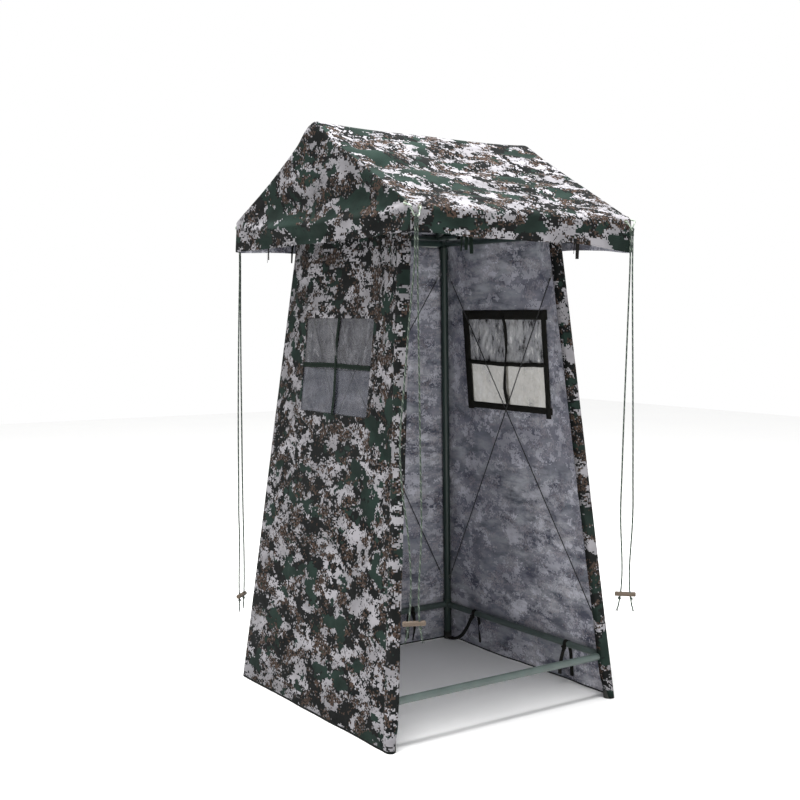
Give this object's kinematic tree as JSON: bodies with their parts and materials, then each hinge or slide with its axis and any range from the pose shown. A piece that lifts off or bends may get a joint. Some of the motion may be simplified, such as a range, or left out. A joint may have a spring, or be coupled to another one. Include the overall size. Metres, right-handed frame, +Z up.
{
  "type": "sentry shelter",
  "caption": "Tall walk-in field hide on a splayed tube frame, with a gabled camouflage roof, three fabric walls, an open front, side windows and guy lines.",
  "frame": {"origin": "centre of the base at ground level, midway between the four legs", "axes": "+Z up, X along the roof's ridge from the left wall to the right wall, -Y out of the open front"},
  "size_m": [1.204, 1.4501, 2.44],
  "materials": {
    "foot_rubber": "matt",
    "frame_tube": "satin, dark green enamel",
    "rail_tube": "satin, grey-green enamel",
    "frame_fitting": "satin, dark green enamel",
    "roof_fabric": "woven polyester, printed with a blocky woodland camouflage",
    "wall_fabric": "woven polyester, printed outside with the same camouflage and greyer inside",
    "clear_film": "clear, wrinkled",
    "window_webbing": "flat woven tape",
    "tie_tape": "flat woven tape",
    "strap_webbing": "flat woven webbing",
    "brace_cord": "braided cord",
    "ring_steel": "dull",
    "eyelet_metal": "dull, brassy grey",
    "guy_rope": "twisted green rope with a pale fleck",
    "slider_wood": "turned hardwood, oiled"
  },
  "bodies": {
    "root": {"feet": "foot_rubber", "lower_leg_front_left": "frame_tube", "lower_leg_front_right": "frame_tube", "lower_leg_rear_left": "frame_tube", "lower_leg_rear_right": "frame_tube", "upper_leg_front_left": "frame_tube", "upper_leg_front_right": "frame_tube", "upper_leg_rear_left": "frame_tube", "upper_leg_rear_right": "frame_tube", "bottom_corner_joints": "frame_fitting", "bottom_rail_front": "rail_tube", "bottom_rail_back": "rail_tube", "bottom_rail_left": "rail_tube", "bottom_rail_right": "rail_tube", "leg_heads": "frame_fitting", "top_rail_front": "frame_tube", "top_rail_back": "frame_tube", "roof_bearer_left": "frame_tube", "roof_bearer_right": "frame_tube", "eave_saddles": "frame_fitting", "eave_rail_front": "frame_tube", "eave_rail_back": "frame_tube", "eave_rail_left": "frame_tube", "eave_rail_right": "frame_tube", "eave_corner_joints": "frame_fitting", "rafter_front_left": "frame_tube", "rafter_front_right": "frame_tube", "rafter_rear_left": "frame_tube", "rafter_rear_right": "frame_tube", "ridge_tees": "frame_fitting", "ridge_pole": "frame_tube", "roof_cover": "roof_fabric", "left_wall": "wall_fabric", "right_wall": "wall_fabric", "back_wall": "wall_fabric", "leg_sleeves": "wall_fabric", "window_pane_left": "clear_film", "window_pane_right": "clear_film", "window_trim_left": "window_webbing", "window_trim_right": "window_webbing", "valance_ties": "tie_tape", "rail_straps": "strap_webbing", "brace_cords_left": "brace_cord", "brace_cords_right": "brace_cord", "brace_cords_back": "brace_cord", "brace_rings": "ring_steel", "brace_hooks": "ring_steel", "corner_slings": "guy_rope", "roof_eyelets": "eyelet_metal"},
    "guy_front_left": {"guy_rope_front_left": "guy_rope"},
    "slider_front_left": {"guy_slider_front_left": "slider_wood"},
    "guy_front_right": {"guy_rope_front_right": "guy_rope"},
    "slider_front_right": {"guy_slider_front_right": "slider_wood"},
    "guy_rear_left": {"guy_rope_rear_left": "guy_rope"},
    "slider_rear_left": {"guy_slider_rear_left": "slider_wood"},
    "guy_rear_right": {"guy_rope_rear_right": "guy_rope"},
    "slider_rear_right": {"guy_slider_rear_right": "slider_wood"}
  },
  "joints": [
    {"name": "guy_front_left_swing", "type": "hinge", "parent": "root", "child": "guy_front_left", "pos_m": [-0.552, -0.69, 2.018], "axis": [-0.7071, 0.7071, 0], "range_deg": [0, 60]},
    {"name": "slider_front_left_slide", "type": "slide", "parent": "guy_front_left", "child": "slider_front_left", "axis": [0, 0, 1], "range_m": [0, 0.3]},
    {"name": "guy_front_right_swing", "type": "hinge", "parent": "root", "child": "guy_front_right", "pos_m": [0.552, -0.69, 2.018], "axis": [-0.7071, -0.7071, 0], "range_deg": [0, 60]},
    {"name": "slider_front_right_slide", "type": "slide", "parent": "guy_front_right", "child": "slider_front_right", "axis": [0, 0, 1], "range_m": [0, 0.3]},
    {"name": "guy_rear_left_swing", "type": "hinge", "parent": "root", "child": "guy_rear_left", "pos_m": [-0.552, 0.69, 2.018], "axis": [0.7071, 0.7071, 0], "range_deg": [0, 60]},
    {"name": "slider_rear_left_slide", "type": "slide", "parent": "guy_rear_left", "child": "slider_rear_left", "axis": [0, 0, 1], "range_m": [0, 0.3]},
    {"name": "guy_rear_right_swing", "type": "hinge", "parent": "root", "child": "guy_rear_right", "pos_m": [0.552, 0.69, 2.018], "axis": [0.7071, -0.7071, 0], "range_deg": [0, 60]},
    {"name": "slider_rear_right_slide", "type": "slide", "parent": "guy_rear_right", "child": "slider_rear_right", "axis": [0, 0, 1], "range_m": [0, 0.3]}
  ]
}
